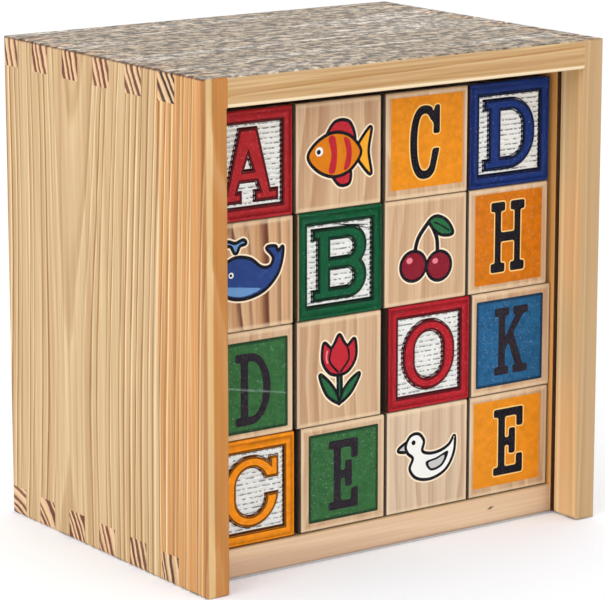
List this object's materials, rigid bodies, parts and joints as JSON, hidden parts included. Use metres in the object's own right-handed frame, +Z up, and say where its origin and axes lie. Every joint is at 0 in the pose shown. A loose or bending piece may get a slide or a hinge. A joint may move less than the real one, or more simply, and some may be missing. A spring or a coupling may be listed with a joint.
{
  "type": "boxed set of alphabet blocks",
  "caption": "Wooden alphabet blocks with raised and printed faces, stacked in layers in a finger-jointed pine crate whose clear front sheet draws out downwards.",
  "frame": {"origin": "under the middle of the crate, at the height of the ground that it stands on", "axes": "+X to the right of the front, +Y from the open front to the back panel, +Z up"},
  "size_m": [0.1428, 0.109, 0.1478],
  "materials": {
    "pine": "sanded bare pine with long striped grain",
    "plywood": "sanded bare birch plywood",
    "clear_sheet": "clear and glossy, thin sheet",
    "block_wood": "smooth bare fine-grained wood",
    "red_paint": "wood with satin red paint on the raised parts",
    "blue_paint": "wood with satin blue paint on the raised parts",
    "green_paint": "wood with satin green paint on the raised parts",
    "orange_paint": "wood with satin orange paint on the raised parts",
    "print_ink": "thin flat printed ink"
  },
  "bodies": {
    "crate": {"left_side": "pine", "right_side": "pine", "top_board": "pine", "bottom_board": "pine", "back_panel": "plywood", "front_block_row1_col1": "red_paint", "front_block_row1_col2": "block_wood", "front_block_row1_col3": "block_wood", "front_block_row1_col4": "blue_paint", "front_block_row2_col1": "block_wood", "front_block_row2_col2": "green_paint", "front_block_row2_col3": "block_wood", "front_block_row2_col4": "block_wood", "front_block_row3_col1": "block_wood", "front_block_row3_col2": "block_wood", "front_block_row3_col3": "red_paint", "front_block_row3_col4": "block_wood", "front_block_row4_col1": "orange_paint", "front_block_row4_col2": "block_wood", "front_block_row4_col3": "block_wood", "front_block_row4_col4": "block_wood", "middle_block_row1_col1": "block_wood", "middle_block_row1_col2": "block_wood", "middle_block_row1_col3": "block_wood", "middle_block_row1_col4": "block_wood", "middle_block_row2_col1": "block_wood", "middle_block_row2_col2": "block_wood", "middle_block_row2_col3": "block_wood", "middle_block_row2_col4": "block_wood", "middle_block_row3_col1": "block_wood", "middle_block_row3_col2": "block_wood", "middle_block_row3_col3": "block_wood", "middle_block_row3_col4": "block_wood", "middle_block_row4_col1": "block_wood", "middle_block_row4_col2": "block_wood", "middle_block_row4_col3": "block_wood", "middle_block_row4_col4": "block_wood", "rear_block_row1_col1": "block_wood", "rear_block_row1_col2": "block_wood", "rear_block_row1_col3": "block_wood", "rear_block_row1_col4": "block_wood", "rear_block_row2_col1": "block_wood", "rear_block_row2_col2": "block_wood", "rear_block_row2_col3": "block_wood", "rear_block_row2_col4": "block_wood", "rear_block_row3_col1": "block_wood", "rear_block_row3_col2": "block_wood", "rear_block_row3_col3": "block_wood", "rear_block_row3_col4": "block_wood", "rear_block_row4_col1": "block_wood", "rear_block_row4_col2": "block_wood", "rear_block_row4_col3": "block_wood", "rear_block_row4_col4": "block_wood"},
    "cover": {"sliding_cover": "clear_sheet"}
  },
  "joints": [
    {"name": "cover_slide", "type": "slide", "parent": "crate", "child": "cover", "axis": [0, 0, -1], "range_m": [0, 0.1418]}
  ]
}
